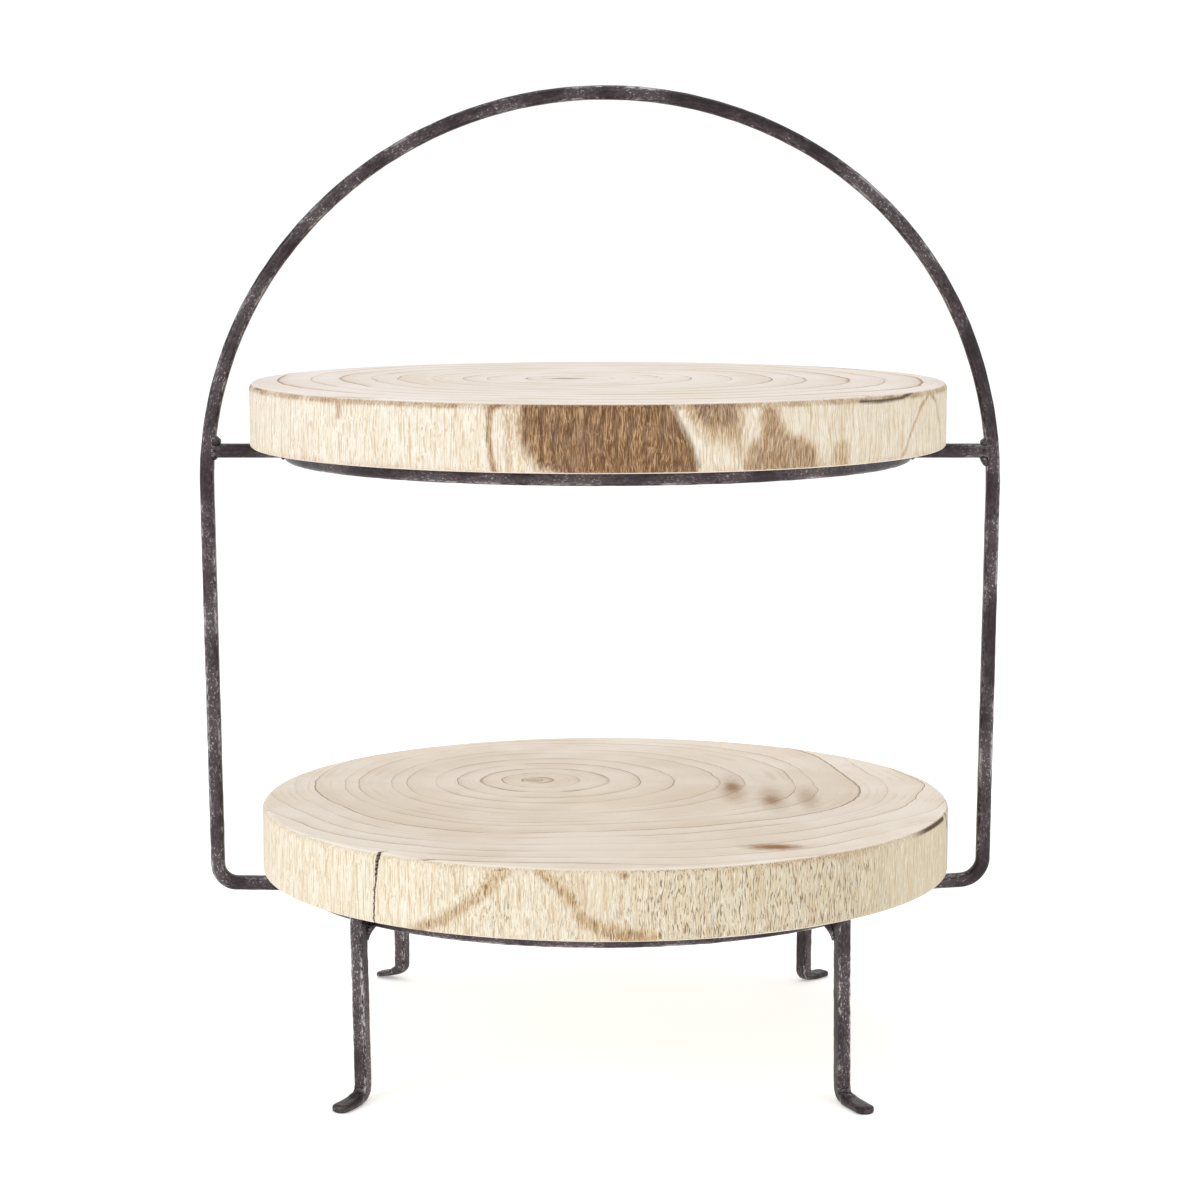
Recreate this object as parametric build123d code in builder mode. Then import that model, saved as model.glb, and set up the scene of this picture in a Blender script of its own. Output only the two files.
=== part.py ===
from build123d import *
import os
from math import asin, cos, degrees, pi, radians, sin, tan

# Two-tier cake stand: two round wooden boards in a welded frame of forged square bar.
#
# One long bar makes the arch handle, both uprights and the run under the lower tier. A bar ring
# carries each board. Short arms tie the upper ring to the uprights, the lower ring lies on the
# run, and four legs with bent feet are welded around the lower ring. Each board is held from
# below by four wood screws through tabs inside its ring.
#
# Frame: millimetres, +Z up, +X to the right, +Y to the back, origin on the floor under the middle.

os.makedirs("parts", exist_ok=True)

# ---- driving dimensions --------------------------------------------------------------------

# boards
board_diameter = 305.0
board_thickness = {"upper": 27.8, "lower": 29.8}
board_underside = {"upper": 268.3, "lower": 80.7}
board_shift = {"upper": -0.9, "lower": 2.4}     # how far each board sits off centre, along X
board_top_round = 2.2
board_bottom_round = 1.4

# bored-out heart of the lower board, and the drying check in its rim
pith_diameter = 8.3
pith_x = -30.0
pith_y = 38.3
plug_bevel = 0.4
check_angle = 234.5                             # around the board, from +X
check_width = 1.5
check_depth = 24.0

# forged bars: side of the square, and radius of its worn corners
hoop_bar = 6.6
hoop_corner = 2.2
ring_bar = 6.4
ring_corner = 2.0
leg_bar = 6.1
leg_corner = 2.1

# rings
ring_outer_radius = 137.6
ring_radius = ring_outer_radius - ring_bar / 2
ring_inner_radius = ring_outer_radius - ring_bar
ring_centre_z = {tier: underside - ring_bar / 2 for tier, underside in board_underside.items()}
ring_shift = {"upper": -0.9, "lower": 0.0}      # how far each ring sits off centre, along X

# handle hoop: centre line in the XZ plane
spring_x = 173.05                               # where the arch springs from the uprights
spring_z = 248.5
spring_lean = 0.6                               # degrees that the right upright leans out
arch_bends = [(180.0, 19.6), (163.1, 42.6), (177.5, 86.0), (163.4, 33.2)]   # radius, angle
run_z = board_underside["lower"] - ring_bar - hoop_bar / 2
right_corner = (171.1, run_z + 2.0)
left_corner = (-170.8, run_z + 0.3)
right_corner_radius = 10.6
left_corner_radius = 8.6
run_bend_x = ring_outer_radius + 2.5            # outside the ring the run rises slightly
run_bend_radius = 60.0

# welds
root_gap = 1.0                                  # gap that a butt weld fills
seam_length = 5.0
seam_stand = 0.9                                # how far a seam bead stands above its bar
seam_bevel = 0.7
fillet_weld = 2.3                               # leg of an ordinary fillet weld
arm_weld_stand = 0.5                            # how far an arm's bead stands above the arm
arm_weld_length = 3.0                           # along the arm
arm_weld_spread = {"left": 3.0, "right": 5.4}   # along the upright, beyond the arm's own height
arm_weld_rise = {"left": 1.4, "right": -0.5}    # the left bead is mostly above its arm
weld_bite = 0.8                                 # how far a bead's outline reaches into its bar
run_weld_length = 3.8

# legs: place around the ring, lean of the shank, and shape of each hand-bent foot
leg_places = {
    "front_left": {
        "angle": 224.4, "lean": 1.4, "toe_angle": 245.0, "toe_reach": 21.0,
        "toe_thickness": 3.2, "heel_radius": 7.2, "toe_droop": 0.0,
    },
    "front_right": {
        "angle": 315.7, "lean": 0.6, "toe_angle": 293.0, "toe_reach": 23.0,
        "toe_thickness": 3.2, "heel_radius": 6.6, "toe_droop": 0.0,
    },
    "back_left": {
        "angle": 133.0, "lean": 0.5, "toe_angle": 148.0, "toe_reach": 13.4,
        "toe_thickness": 2.8, "heel_radius": 6.6, "toe_droop": 12.0,
    },
    "back_right": {
        "angle": 45.6, "lean": -0.3, "toe_angle": 48.0, "toe_reach": 16.0,
        "toe_thickness": 3.0, "heel_radius": 6.6, "toe_droop": 0.0,
    },
}
leg_top_drop = 0.3                              # leg tops stop just under the board
leg_seat = 0.3                                  # gap left by the uneven bar beside the ring
toe_width = 8.6
toe_corner = 3.2
toe_top_round = 1.0
toe_bottom_round = 0.5
toe_hammered_from = 3.4                         # past the bend, where the toe is thin and wide
toe_rooted_from = 1.4                           # past the bend, where the wide toe starts
sole_worn = 0.1                                 # filed off under the feet so that all four stand

# flare of weld in the corner between each leg and the ring
flare_top_radius = 5.0
flare_top_inset = 3.6                           # from the leg's axis towards the ring
flare_bottom_radius = 2.4
flare_bottom_inset = 0.8
flare_height = 8.0
flare_lap = 1.5                                 # how far up the ring's side the flare starts

# fixing tabs and wood screws
corner_angles = {"front_left": 225.0, "front_right": 315.0, "back_right": 45.0, "back_left": 135.0}
tab_width = 15.0
tab_reach = 18.0
tab_thickness = 2.5
tab_corner = 3.0
tab_weld_length = 11.0
tab_weld_bevel = 1.0
screw_circle = ring_inner_radius - tab_reach / 2
screw_hole = 4.6
screw_shank = 4.0
screw_head = 8.0
screw_head_height = 2.6
screw_bite = 14.0                               # length of shank inside the board
screw_tip = 3.5
dome_height = 2.0                               # domed part of the head, above a short rim
dome_radius = ((screw_head / 2) ** 2 + dome_height**2) / (2 * dome_height)
dome_angle = degrees(asin(screw_head / 2 / dome_radius))
recess_width = 1.0
recess_length = 4.6
recess_depth = 1.4


# ---- wooden boards -------------------------------------------------------------------------

for tier in ("upper", "lower"):
    underside = board_underside[tier]
    from_below = Plane(origin=(ring_shift[tier], 0, underside), z_dir=(0, 0, -1))
    with BuildPart() as board:
        with BuildSketch(Plane.XY.offset(underside)):
            with Locations((board_shift[tier], 0)):
                Circle(board_diameter / 2)
        extrude(amount=board_thickness[tier])
        fillet(board.faces().sort_by(Axis.Z)[-1].edges(), radius=board_top_round)
        fillet(board.faces().sort_by(Axis.Z)[0].edges(), radius=board_bottom_round)
        with Locations(from_below):
            with PolarLocations(screw_circle, 4, start_angle=45):
                Hole(screw_shank / 2, depth=screw_bite)
        if tier == "lower":
            with Locations((pith_x, pith_y, underside)):
                Hole(pith_diameter / 2)
            rim = Vector(board_shift[tier], 0).add(
                Vector(board_diameter / 2, 0).rotate(Axis.Z, check_angle)
            )
            check_plane = Plane(
                origin=(rim.X, rim.Y, underside),
                x_dir=(cos(radians(check_angle)), sin(radians(check_angle)), 0),
                z_dir=(0, 0, 1),
            )
            with BuildSketch(check_plane):
                with BuildLine():
                    Polyline(
                        (1, check_width / 2), (-check_depth, 0), (1, -check_width / 2), close=True
                    )
                make_face()
            extrude(amount=board_thickness[tier], mode=Mode.SUBTRACT)
    board.part.label = f"{tier}_board"
    export_step(board.part, f"parts/{tier}_board.step")

with BuildPart() as pith_plug:
    with BuildSketch(Plane.XY.offset(board_underside["lower"])):
        with Locations((pith_x, pith_y)):
            Circle(pith_diameter / 2)
    extrude(amount=board_thickness["lower"])
    chamfer(pith_plug.faces().sort_by(Axis.Z)[-1].edges(), length=plug_bevel)
pith_plug.part.label = "pith_plug"
export_step(pith_plug.part, "parts/pith_plug.step")


# ---- handle hoop ---------------------------------------------------------------------------

with BuildPart() as handle_hoop:
    with BuildLine(Plane.XZ) as hoop_line:
        FilletPolyline(
            (root_gap / 2, run_z),
            (run_bend_x, run_z),
            right_corner,
            (spring_x, spring_z),
            radius=[run_bend_radius, right_corner_radius],
        )
        bend_start = (spring_x, spring_z)
        heading = (sin(radians(spring_lean)), cos(radians(spring_lean)))
        for bend_radius, bend_angle in arch_bends:
            bend = JernArc(bend_start, heading, bend_radius, bend_angle)
            bend_start = bend @ 1
            heading = bend % 1
        arch_end = Plane.XZ.to_local_coords(bend @ 1)
        FilletPolyline(
            (arch_end.X, arch_end.Y),
            left_corner,
            (-run_bend_x, run_z),
            (-root_gap / 2, run_z),
            radius=[left_corner_radius, run_bend_radius],
        )
    with BuildSketch(Plane.YZ.offset(root_gap / 2)):
        with Locations((0, run_z)):
            RectangleRounded(hoop_bar, hoop_bar, hoop_corner)
    sweep(path=hoop_line.wire(), transition=Transition.RIGHT)
handle_hoop.part.label = "handle_hoop"
export_step(handle_hoop.part, "parts/handle_hoop.step")

with BuildPart() as hoop_seam_weld:
    with BuildSketch(Plane.YZ.offset(-seam_length / 2)):
        with Locations((0, run_z)):
            RectangleRounded(hoop_bar + 2 * seam_stand, hoop_bar + 2 * seam_stand, hoop_corner)
    extrude(amount=seam_length)
    chamfer(hoop_seam_weld.faces().filter_by(Axis.X).edges(), length=seam_bevel)
    add(handle_hoop.part, mode=Mode.SUBTRACT)
hoop_seam_weld.part.label = "hoop_seam_weld"
export_step(hoop_seam_weld.part, "parts/hoop_seam_weld.step")


# ---- rings, their seams, fixing tabs and screws --------------------------------------------

def spoke_plane(tier, angle, height):
    """Level plane on a ring's axis, with its x direction along a spoke of the ring."""
    spoke = (cos(radians(angle)), sin(radians(angle)), 0)
    return Plane(origin=(ring_shift[tier], 0, height), x_dir=spoke, z_dir=(0, 0, 1))


def ring_arc(tier, side, arc, mid_angle):
    """Rounded square bar rolled to the ring radius, over an arc centred on mid_angle."""
    start = spoke_plane(tier, mid_angle - arc / 2, ring_centre_z[tier])
    with BuildPart() as rolled:
        with BuildSketch(Plane(origin=start.origin, x_dir=start.x_dir, z_dir=-start.y_dir)):
            with Locations((ring_radius, 0)):
                RectangleRounded(side, side, ring_corner)
        revolve(axis=Axis(start.origin, (0, 0, 1)), revolution_arc=arc)
    return rolled.part


def ring_zone(tier, inner, outer, height):
    """Flat washer shape around a ring's axis, used to trim what meets the ring."""
    with BuildSketch(spoke_plane(tier, 0, height)) as zone:
        Circle(outer)
        Circle(inner, mode=Mode.SUBTRACT)
    return zone.sketch


seam_angle = 90.0                               # both ring seams are at the back
gap_arc = 360 * root_gap / (2 * pi * ring_radius)
seam_arc = gap_arc * seam_length / root_gap
rings = {}
for tier, underside in board_underside.items():
    with BuildPart() as ring:
        add(ring_arc(tier, ring_bar, 360 - gap_arc, seam_angle + 180))
    ring.part.label = f"{tier}_ring"
    export_step(ring.part, f"parts/{tier}_ring.step")
    rings[tier] = ring.part

    with BuildPart() as ring_seam:
        add(ring_arc(tier, ring_bar + 2 * seam_stand, seam_arc, seam_angle))
        split(bisect_by=Plane.XY.offset(underside), keep=Keep.BOTTOM)
        add(ring.part, mode=Mode.SUBTRACT)
    ring_seam.part.label = f"{tier}_ring_seam_weld"
    export_step(ring_seam.part, f"parts/{tier}_ring_seam_weld.step")

    for corner, angle in corner_angles.items():
        with BuildPart() as tab:
            with BuildSketch(spoke_plane(tier, angle, underside - tab_thickness)):
                with Locations((ring_inner_radius + tab_corner / 2 - tab_reach / 2, 0)):
                    RectangleRounded(tab_reach + tab_corner, tab_width, tab_corner)
                with Locations((screw_circle, 0)):
                    Circle(screw_hole / 2, mode=Mode.SUBTRACT)
            extrude(amount=tab_thickness)
            outside = ring_zone(tier, ring_inner_radius, ring_outer_radius, underside - tab_thickness)
            extrude(outside, amount=tab_thickness, mode=Mode.SUBTRACT)
        tab.part.label = f"{tier}_tab_{corner}"
        export_step(tab.part, f"parts/{tier}_tab_{corner}.step")

    # one bead under each tab, in the corner between the tab and the ring
    with BuildPart() as tab_welds:
        for angle in corner_angles.values():
            bead_z = underside - tab_thickness - fillet_weld
            with BuildSketch(spoke_plane(tier, angle, bead_z)):
                with Locations((ring_inner_radius - fillet_weld, 0)):
                    Rectangle(2 * fillet_weld, tab_weld_length)
            extrude(amount=fillet_weld)
        chamfer(tab_welds.edges().group_by(Axis.Z)[0], length=tab_weld_bevel)
        outside = ring_zone(tier, ring_inner_radius, ring_outer_radius, underside - ring_bar)
        extrude(outside, amount=ring_bar, mode=Mode.SUBTRACT)
    tab_welds.part.label = f"{tier}_tab_welds"
    export_step(tab_welds.part, f"parts/{tier}_tab_welds.step")

    bearing_z = underside - tab_thickness
    tip_z = underside + screw_bite
    with BuildPart() as screw:
        with BuildSketch(Plane.XZ):
            with BuildLine():
                dome = JernArc((0, bearing_z - screw_head_height), (1, 0), dome_radius, dome_angle)
                Polyline(
                    dome @ 1,
                    (screw_head / 2, bearing_z),
                    (screw_shank / 2, bearing_z),
                    (screw_shank / 2, tip_z - screw_tip),
                    (0, tip_z),
                    dome @ 0,
                )
            make_face()
        revolve(axis=Axis.Z)
        with BuildSketch(Plane.XY.offset(bearing_z - screw_head_height)):
            Rectangle(recess_length, recess_width)
            Rectangle(recess_width, recess_length)
        extrude(amount=recess_depth, mode=Mode.SUBTRACT)
    with BuildPart() as board_screws:
        with Locations((ring_shift[tier], 0, 0)):
            with PolarLocations(screw_circle, 4, start_angle=45):
                add(screw.part)
    board_screws.part.label = f"{tier}_board_screws"
    export_step(board_screws.part, f"parts/{tier}_board_screws.step")


# ---- arms of the upper tier ----------------------------------------------------------------

arm_z = ring_centre_z["upper"]
upright_face = spring_x - hoop_bar / 2          # inner face of the uprights
for side, sign in (("left", -1), ("right", 1)):
    outward = Plane(origin=(0, 0, arm_z), x_dir=(0, sign, 0), z_dir=(sign, 0, 0))
    # each end of the arm is cut to the shape of the bar that it meets
    with BuildPart() as arm:
        with BuildSketch(outward.offset(ring_outer_radius - ring_corner)):
            RectangleRounded(ring_bar, ring_bar, ring_corner)
        extrude(amount=upright_face + hoop_corner - ring_outer_radius + ring_corner)
        add(rings["upper"], mode=Mode.SUBTRACT)
        add(handle_hoop.part, mode=Mode.SUBTRACT)
    arm.part.label = f"upper_arm_{side}"
    export_step(arm.part, f"parts/upper_arm_{side}.step")

    # bead that wraps the arm's end and spreads up and down the upright
    wrapped = ring_bar + arm_weld_stand
    with BuildPart() as hoop_weld:
        with BuildSketch(outward.offset(upright_face - arm_weld_length)):
            RectangleRounded(wrapped, wrapped, ring_corner)
        with BuildSketch(outward.offset(upright_face + weld_bite)):
            with Locations((0, arm_weld_rise[side])):
                RectangleRounded(wrapped, wrapped + arm_weld_spread[side], ring_corner)
        loft()
        add(arm.part, mode=Mode.SUBTRACT)
        add(handle_hoop.part, mode=Mode.SUBTRACT)
    hoop_weld.part.label = f"arm_to_hoop_weld_{side}"
    export_step(hoop_weld.part, f"parts/arm_to_hoop_weld_{side}.step")

    # bead at the ring, ground flush on top where the board lies
    with BuildPart() as ring_weld:
        with BuildSketch(outward.offset(ring_outer_radius - weld_bite)):
            RectangleRounded(ring_bar + 2 * fillet_weld, ring_bar + fillet_weld, ring_corner)
        with BuildSketch(outward.offset(ring_outer_radius + fillet_weld)):
            RectangleRounded(wrapped, wrapped, ring_corner)
        loft()
        split(bisect_by=Plane.XY.offset(board_underside["upper"]), keep=Keep.BOTTOM)
        add(arm.part, mode=Mode.SUBTRACT)
        add(rings["upper"], mode=Mode.SUBTRACT)
    ring_weld.part.label = f"arm_to_ring_weld_{side}"
    export_step(ring_weld.part, f"parts/arm_to_ring_weld_{side}.step")

    # two beads on the run under the lower ring, one on each side of the ring
    run_top = run_z + hoop_bar / 2
    for place, bead_x in (
        ("outer", ring_outer_radius - weld_bite),
        ("inner", ring_inner_radius + weld_bite),
    ):
        with BuildPart() as run_weld_blank:
            with BuildSketch(Plane.XZ.offset(run_weld_length / 2)):
                with Locations((sign * bead_x, run_top)):
                    Circle(fillet_weld)
            extrude(amount=-run_weld_length)
            add(rings["lower"], mode=Mode.SUBTRACT)
            add(handle_hoop.part, mode=Mode.SUBTRACT)
        with BuildPart() as run_weld:
            add(run_weld_blank.part.solids().sort_by(SortBy.VOLUME)[-1])
        run_weld.part.label = f"run_weld_{side}_{place}"
        export_step(run_weld.part, f"parts/run_weld_{side}_{place}.step")


# ---- legs ----------------------------------------------------------------------------------

leg_top = board_underside["lower"] - leg_top_drop
leg_radius = ring_outer_radius + leg_bar / 2 + leg_seat
for corner, leg_place in leg_places.items():
    toe_thickness = leg_place["toe_thickness"]
    heel_radius = leg_place["heel_radius"]
    bend_angle = 90 - leg_place["toe_droop"]
    outward = Vector(1, 0, 0).rotate(Axis.Z, leg_place["angle"])
    toe = Vector(1, 0, 0).rotate(Axis.Z, leg_place["toe_angle"])
    sideways = toe.rotate(Axis.Z, 90)
    # centre of the heel's bend, placed so that the sole meets the floor under the toe's tip
    bend_x = heel_radius - leg_bar / 2
    past_bend = (leg_place["toe_reach"] - bend_x) / sin(radians(bend_angle))
    past_bend += heel_radius / tan(radians(bend_angle))
    bend_z = heel_radius * sin(radians(bend_angle)) + past_bend * cos(radians(bend_angle)) - sole_worn
    foot_axis = outward * leg_radius + Vector(leg_place["lean"], 0, 0)
    bend_centre = foot_axis + toe * bend_x + Vector(0, 0, bend_z)

    def outer_plane(turn, beyond=0.0):
        """Plane across the bar where it has turned so far, with its origin on the outer side."""
        inward = toe * cos(radians(turn)) + Vector(0, 0, sin(radians(turn)))
        travel = toe * sin(radians(turn)) - Vector(0, 0, cos(radians(turn)))
        outer_point = bend_centre - inward * heel_radius + travel * beyond
        return Plane(origin=outer_point, x_dir=sideways, z_dir=travel)

    # the bar through the bend, thinner and wider towards the toe: turn, beyond, width, thickness
    stations = [
        (0, 0, leg_bar, leg_bar),
        (bend_angle / 3, 0, leg_bar, leg_bar),
        (bend_angle * 2 / 3, 0, leg_bar, leg_bar * 0.92),
        (bend_angle, 0, leg_bar * 1.06, leg_bar * 0.74),
        (bend_angle, toe_hammered_from, toe_width * 0.9, toe_thickness),
    ]
    with BuildPart() as leg:
        # toe, hammered out wide and thin
        end_plane = outer_plane(bend_angle)
        sole = Plane(origin=end_plane.origin, x_dir=end_plane.z_dir, z_dir=end_plane.y_dir)
        with BuildSketch(sole):
            with Locations(((toe_rooted_from + past_bend) / 2, 0)):
                RectangleRounded(past_bend - toe_rooted_from, toe_width, toe_corner)
        extrude(amount=toe_thickness)
        fillet(leg.faces().filter_by(sole).sort_by(Axis.Z)[-1].edges(), radius=toe_top_round)
        fillet(leg.faces().filter_by(sole).sort_by(Axis.Z)[0].edges(), radius=toe_bottom_round)
        # bend
        for turn, beyond, width, thickness in stations:
            with BuildSketch(outer_plane(turn, beyond)):
                with Locations((0, thickness / 2)):
                    RectangleRounded(width, thickness, min(leg_corner, thickness * 0.4))
        loft()
        # shank, up to the board
        head = outward * leg_radius + Vector(0, 0, leg_top)
        with BuildSketch(Plane(origin=head, x_dir=sideways, z_dir=(0, 0, -1))):
            RectangleRounded(leg_bar, leg_bar, leg_corner)
        with BuildSketch(outer_plane(0)):
            with Locations((0, leg_bar / 2)):
                RectangleRounded(leg_bar, leg_bar, leg_corner)
        loft()
        split(bisect_by=Plane.XY, keep=Keep.TOP)
        add(rings["lower"], mode=Mode.SUBTRACT)
    leg.part.label = f"{corner}_leg"
    export_step(leg.part, f"parts/{corner}_leg.step")

    # flare of weld in the corner between the leg and the underside of the ring
    flare_top = board_underside["lower"] - ring_bar + flare_lap
    with BuildPart() as flare_blank:
        with BuildSketch(Plane.XY.offset(flare_top)):
            with Locations(outward * (leg_radius - flare_top_inset)):
                Circle(flare_top_radius)
        with BuildSketch(Plane.XY.offset(flare_top - flare_height)):
            with Locations(outward * (leg_radius - flare_bottom_inset)):
                Circle(flare_bottom_radius)
        loft()
        add(leg.part, mode=Mode.SUBTRACT)
        add(rings["lower"], mode=Mode.SUBTRACT)
    with BuildPart() as leg_weld:
        add(flare_blank.part.solids().sort_by(SortBy.VOLUME)[-1])
    leg_weld.part.label = f"{corner}_leg_weld"
    export_step(leg_weld.part, f"parts/{corner}_leg_weld.step")
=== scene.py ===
from math import cos, degrees, pi, radians, sin, sqrt, tan

import bmesh
import bpy
import numpy as np
from mathutils import Matrix, Vector, noise


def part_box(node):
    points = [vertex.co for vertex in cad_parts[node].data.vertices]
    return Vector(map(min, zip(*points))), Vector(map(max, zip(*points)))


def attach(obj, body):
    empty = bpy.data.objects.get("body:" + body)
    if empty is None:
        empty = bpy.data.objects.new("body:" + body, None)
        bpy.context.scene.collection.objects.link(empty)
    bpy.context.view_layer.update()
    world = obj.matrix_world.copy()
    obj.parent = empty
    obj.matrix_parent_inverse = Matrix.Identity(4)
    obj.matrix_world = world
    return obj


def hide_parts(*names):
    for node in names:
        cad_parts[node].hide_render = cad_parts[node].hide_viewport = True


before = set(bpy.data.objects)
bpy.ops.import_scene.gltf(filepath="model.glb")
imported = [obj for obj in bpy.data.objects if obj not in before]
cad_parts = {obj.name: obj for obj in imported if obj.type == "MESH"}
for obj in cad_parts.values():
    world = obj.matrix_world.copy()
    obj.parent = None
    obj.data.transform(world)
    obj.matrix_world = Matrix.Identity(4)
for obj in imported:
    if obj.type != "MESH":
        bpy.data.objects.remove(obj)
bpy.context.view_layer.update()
mm = 0.001


# ---- handle hoop --------------------------------------------------------------------------------
# One long mild steel bar, hammered hot on all four sides and bent into the arch handle, both
# uprights and the run under the lower tier. Its ends meet in a weld under the middle of the stand.

hoop_side = 6.6 * mm
hoop_corner = 2.2 * mm
hoop_low, hoop_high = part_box("handle_hoop")
root_gap = 1.0 * mm
spring_x = hoop_high[0] - hoop_side / 2
spring_z = 248.5 * mm
spring_lean = radians(0.6)
arch_bends = [(180.0, 19.6), (163.1, 42.6), (177.5, 86.0), (163.4, 33.2)]    # radius mm, degrees
run_z = hoop_low[2] + hoop_side / 2
run_bend_x = 140.1 * mm
run_bend_radius = 60 * mm
right_corner = (171.1 * mm, run_z + 2.0 * mm)
right_corner_radius = 10.6 * mm
left_corner = (-170.8 * mm, run_z + 0.3 * mm)
left_corner_radius = 8.6 * mm
corner_steps = 8                # points round each worn corner of a bar's section
section_steps = 32
dent_smoothness = 0.6
wave_scale = 55                 # per metre, for the slow waviness along a bar


def rounded_path(corners, radii, step=1.0 * mm):
    """Points along a line through 3-D corners, with each inner corner rounded to its radius."""
    path = [Vector(corners[0])]
    for i, radius in enumerate(radii, start=1):
        corner = Vector(corners[i])
        back = (Vector(corners[i - 1]) - corner).normalized()
        ahead = (Vector(corners[i + 1]) - corner).normalized()
        half_angle = back.angle(ahead) / 2
        setback = radius / tan(half_angle)
        centre = corner + (back + ahead).normalized() * radius / sin(half_angle)
        start = corner + back * setback - centre
        end = corner + ahead * setback - centre
        pieces = max(2, int(radius * (pi - 2 * half_angle) / step))
        for k in range(pieces + 1):
            path.append(centre + start.slerp(end, k / pieces).normalized() * radius)
    path.append(Vector(corners[-1]))
    return path


def bar_tree():
    """Geometry Nodes tree that forges a bar along a line: square section, worn corners, dents."""
    tree = bpy.data.node_groups.new("forged_bar", "GeometryNodeTree")
    face = tree.interface
    face.new_socket("Line", in_out="INPUT", socket_type="NodeSocketGeometry")
    for label in ("Side", "Corner", "Step", "Dent depth", "Dent size", "Seed"):
        face.new_socket(label, in_out="INPUT", socket_type="NodeSocketFloat")
    face.new_socket("Iron", in_out="INPUT", socket_type="NodeSocketMaterial")
    face.new_socket("Bar", in_out="OUTPUT", socket_type="NodeSocketGeometry")
    nodes, link = tree.nodes, tree.links.new
    given = nodes.new("NodeGroupInput").outputs

    def op(kind, operation, *values):
        made = nodes.new(kind)
        made.operation = operation
        for socket, value in zip(made.inputs, values):
            if isinstance(value, (int, float, tuple)):
                socket.default_value = value
            else:
                link(value, socket)
        return made.outputs[0]

    to_curve = nodes.new("GeometryNodeMeshToCurve")
    link(given["Line"], to_curve.inputs[0])
    even = nodes.new("GeometryNodeResampleCurve")
    even.mode = "LENGTH"
    link(to_curve.outputs[0], even.inputs["Curve"])
    link(given["Step"], even.inputs["Length"])
    along = nodes.new("GeometryNodeSplineParameter")
    keep_along = nodes.new("GeometryNodeCaptureAttribute")
    keep_along.capture_items.new("FLOAT", "along")
    link(even.outputs[0], keep_along.inputs["Geometry"])
    link(along.outputs["Length"], keep_along.inputs["along"])

    square = nodes.new("GeometryNodeCurvePrimitiveQuadrilateral")
    link(given["Side"], square.inputs["Width"])
    link(given["Side"], square.inputs["Height"])
    worn = nodes.new("GeometryNodeFilletCurve")
    worn.mode = "POLY"
    worn.inputs["Count"].default_value = corner_steps
    link(square.outputs[0], worn.inputs["Curve"])
    link(given["Corner"], worn.inputs["Radius"])
    section = nodes.new("GeometryNodeResampleCurve")
    section.inputs["Count"].default_value = section_steps
    link(worn.outputs[0], section.inputs["Curve"])
    place = nodes.new("GeometryNodeInputPosition")
    keep_across = nodes.new("GeometryNodeCaptureAttribute")
    keep_across.capture_items.new("VECTOR", "across")
    link(section.outputs[0], keep_across.inputs["Geometry"])
    link(place.outputs[0], keep_across.inputs["across"])

    swept = nodes.new("GeometryNodeCurveToMesh")
    swept.inputs["Fill Caps"].default_value = True
    link(keep_along.outputs["Geometry"], swept.inputs["Curve"])
    link(keep_across.outputs["Geometry"], swept.inputs["Profile Curve"])
    split = nodes.new("ShaderNodeSeparateXYZ")
    link(keep_across.outputs["across"], split.inputs[0])
    bar_place = nodes.new("ShaderNodeCombineXYZ")
    link(keep_along.outputs["along"], bar_place.inputs[0])
    link(split.outputs[0], bar_place.inputs[1])
    link(split.outputs[1], bar_place.inputs[2])

    # dents: smooth cells stretched along the bar, plus a slow waviness, always cut inwards
    shifted = op("ShaderNodeVectorMath", "ADD", bar_place.outputs[0], given["Seed"])
    cell_scale = op("ShaderNodeMath", "DIVIDE", 1.0, given["Dent size"])
    cells = nodes.new("ShaderNodeTexVoronoi")
    cells.feature = "SMOOTH_F1"
    cells.inputs["Smoothness"].default_value = dent_smoothness
    link(shifted, cells.inputs["Vector"])
    link(cell_scale, cells.inputs["Scale"])
    waves = nodes.new("ShaderNodeTexNoise")
    waves.inputs["Scale"].default_value = wave_scale
    link(shifted, waves.inputs["Vector"])
    cut = op("ShaderNodeMath", "ADD", cells.outputs["Distance"], waves.outputs[0])
    cut = op("ShaderNodeMath", "MULTIPLY", cut, given["Dent depth"])
    cut = op("ShaderNodeMath", "MULTIPLY", cut, -1.0)
    normal = nodes.new("GeometryNodeInputNormal")
    inward = op("ShaderNodeVectorMath", "SCALE", normal.outputs[0])
    link(cut, inward.node.inputs["Scale"])
    dented = nodes.new("GeometryNodeSetPosition")
    link(swept.outputs[0], dented.inputs["Geometry"])
    link(inward, dented.inputs["Offset"])
    stored = nodes.new("GeometryNodeStoreNamedAttribute")
    stored.data_type = "FLOAT_VECTOR"
    stored.inputs["Name"].default_value = "bar_place"
    link(dented.outputs[0], stored.inputs["Geometry"])
    link(bar_place.outputs[0], stored.inputs["Value"])
    smooth = nodes.new("GeometryNodeSetShadeSmooth")
    link(stored.outputs[0], smooth.inputs["Geometry"])
    real = nodes.new("GeometryNodeRealizeInstances")
    link(smooth.outputs[0], real.inputs[0])
    painted = nodes.new("GeometryNodeSetMaterial")
    link(real.outputs[0], painted.inputs["Geometry"])
    link(given["Iron"], painted.inputs["Material"])
    link(painted.outputs[0], nodes.new("NodeGroupOutput").inputs[0])
    return tree


def set_inputs(tree, node, **inputs):
    """Sets inputs, called by label or as i0, i1 in order, to a value or from another node's output."""
    for key, value in inputs.items():
        by_order = key[0] == "i" and key[1:].isdigit()
        socket = node.inputs[int(key[1:]) if by_order else key.replace("_", " ")]
        if isinstance(value, bpy.types.NodeSocket):
            tree.links.new(value, socket)
        else:
            socket.default_value = value


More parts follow.
